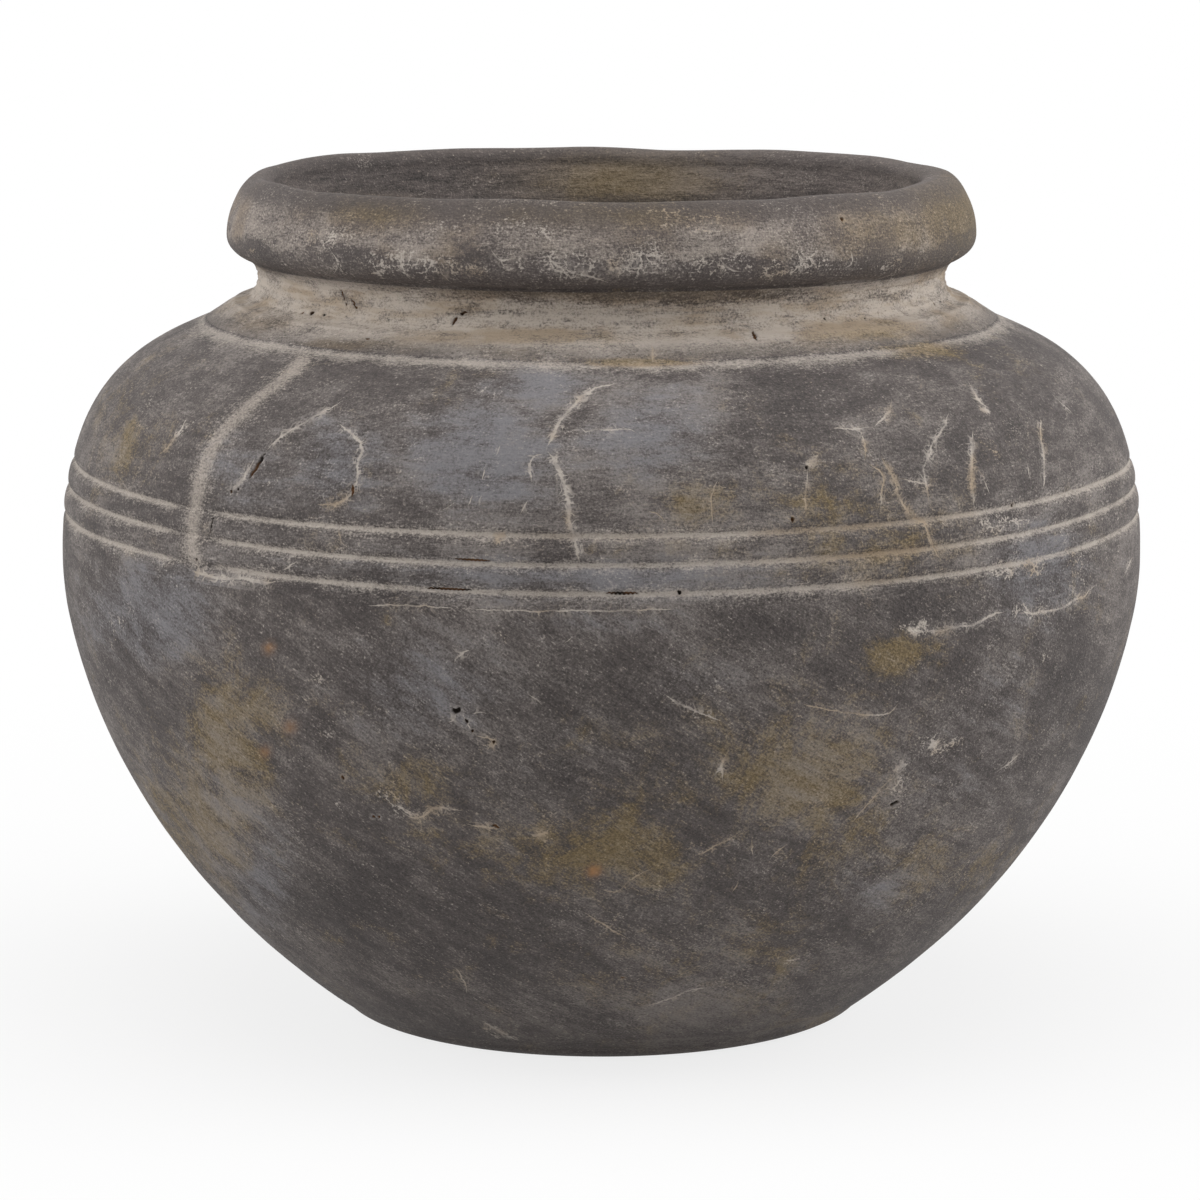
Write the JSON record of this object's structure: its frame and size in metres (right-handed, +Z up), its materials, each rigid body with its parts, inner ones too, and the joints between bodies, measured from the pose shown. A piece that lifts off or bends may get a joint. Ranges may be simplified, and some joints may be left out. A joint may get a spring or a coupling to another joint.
{
  "type": "clay jar vase",
  "caption": "Squat wide-mouthed clay jar with a flat base, swelling belly, scored shoulder grooves, hollow neck and thick rolled rim, luted together from hand-built sections.",
  "frame": {"origin": "centre of the flat base, on the surface the jar stands on", "axes": "+Z up along the jar's axis, -Y towards the front, +X to the right seen from the front"},
  "size_m": [0.399, 0.3994, 0.313],
  "materials": {
    "base_clay": "matt unglazed clay, dark brown-grey, rubbed",
    "bowl_clay": "matt unglazed clay, grey-brown with ochre clouds, fine cracks and pale specks",
    "shoulder_clay": "matt unglazed clay, smoky grey with pale crack lines and lime-filled grooves",
    "neck_clay": "matt unglazed clay, washed pale beige with ochre stains and wiping marks",
    "rim_clay": "matt unglazed clay, dark grey-brown with pale crackle",
    "slip": "matt pale clay slip"
  },
  "bodies": {
    "root": {"base_slab": "base_clay", "base_slip": "slip", "lower_bowl": "bowl_clay", "belly_slip": "slip", "shoulder_half_front": "shoulder_clay", "shoulder_half_back": "shoulder_clay", "seam_strip_left": "slip", "seam_strip_right": "slip", "collar_slip": "slip", "neck_ring": "neck_clay", "rim_slip": "slip", "rim_coil": "rim_clay"}
  },
  "joints": []
}
